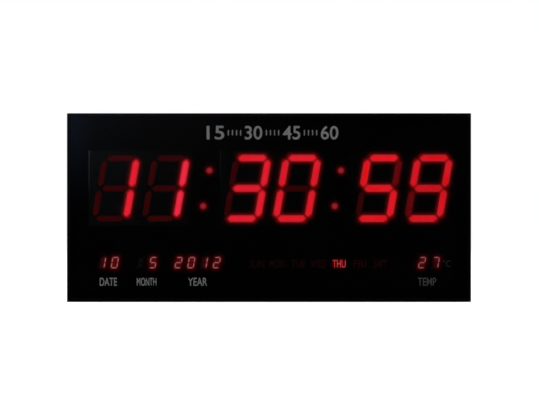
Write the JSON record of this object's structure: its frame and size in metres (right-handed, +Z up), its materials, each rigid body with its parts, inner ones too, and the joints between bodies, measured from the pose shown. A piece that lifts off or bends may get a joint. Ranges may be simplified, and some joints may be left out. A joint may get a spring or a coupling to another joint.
{
  "type": "digital wall clock",
  "caption": "Flat rectangular wall clock with large seven-segment light digits behind a dark window, a calendar row, keyholes at the back and side push buttons.",
  "frame": {"origin": "on the surface the clock stands on, under the middle of its case", "axes": "+X to the right as seen from the front, +Y from the front to the wall, +Z up"},
  "size_m": [0.4612, 0.03, 0.215],
  "materials": {
    "frame": "black anodised, satin",
    "window": "smoked clear sheet, polished",
    "mask_ink": "matt black print on film",
    "housing": "matt black moulding",
    "resin": "red diffusing resin",
    "board": "green solder mask",
    "component": "moulded black",
    "steel": "plated",
    "moulded": "black, fine spark-eroded texture",
    "button": "satin black"
  },
  "bodies": {
    "case": {"frame_bottom_rail": "frame", "frame_top_rail": "frame", "frame_left_rail": "frame", "frame_right_rail": "frame", "corner_key_bottom_left": "steel", "corner_key_bottom_right": "steel", "corner_key_top_right": "steel", "corner_key_top_left": "steel", "front_window": "window", "printed_mask": "mask_ink", "hours_housing": "housing", "hours_tens_resin": "resin", "hours_units_resin": "resin", "minutes_housing": "housing", "minutes_tens_resin": "resin", "minutes_units_resin": "resin", "seconds_housing": "housing", "seconds_tens_resin": "resin", "seconds_units_resin": "resin", "colon_1": "housing", "colon_2": "housing", "date_digit_1": "housing", "date_digit_2": "housing", "month_digit_1": "housing", "month_digit_2": "housing", "year_digit_1": "housing", "year_digit_2": "housing", "year_digit_3": "housing", "year_digit_4": "housing", "temperature_digit_1": "housing", "temperature_digit_2": "housing", "weekday_light_bar": "housing", "weekday_resin": "resin", "main_circuit_board": "board", "microcontroller": "component", "driver_chip_left": "component", "driver_chip_right": "component", "temperature_sensor": "component", "cell_holder": "component", "buzzer": "component", "capacitor": "component", "voltage_regulator": "component", "dc_jack": "component", "set_switch": "component", "down_switch": "component", "up_switch": "component", "mode_switch": "component", "crystal": "steel", "coin_cell": "steel", "rear_panel": "moulded", "panel_screw_1": "steel", "panel_screw_2": "steel", "panel_screw_3": "steel", "panel_screw_4": "steel", "panel_screw_5": "steel", "panel_screw_6": "steel"},
    "set_button": {"set_button": "button"},
    "down_button": {"down_button": "button"},
    "up_button": {"up_button": "button"},
    "mode_button": {"mode_button": "button"}
  },
  "joints": [
    {"name": "set_button_press", "type": "slide", "parent": "case", "child": "set_button", "axis": [-1, 0, 0], "range_m": [0, 0.0005], "stiffness_N_per_m": 1500, "springref_m": -0.0005},
    {"name": "down_button_press", "type": "slide", "parent": "case", "child": "down_button", "axis": [-1, 0, 0], "range_m": [0, 0.0005], "stiffness_N_per_m": 1500, "springref_m": -0.0005},
    {"name": "up_button_press", "type": "slide", "parent": "case", "child": "up_button", "axis": [-1, 0, 0], "range_m": [0, 0.0005], "stiffness_N_per_m": 1500, "springref_m": -0.0005},
    {"name": "mode_button_press", "type": "slide", "parent": "case", "child": "mode_button", "axis": [-1, 0, 0], "range_m": [0, 0.0005], "stiffness_N_per_m": 1500, "springref_m": -0.0005}
  ]
}
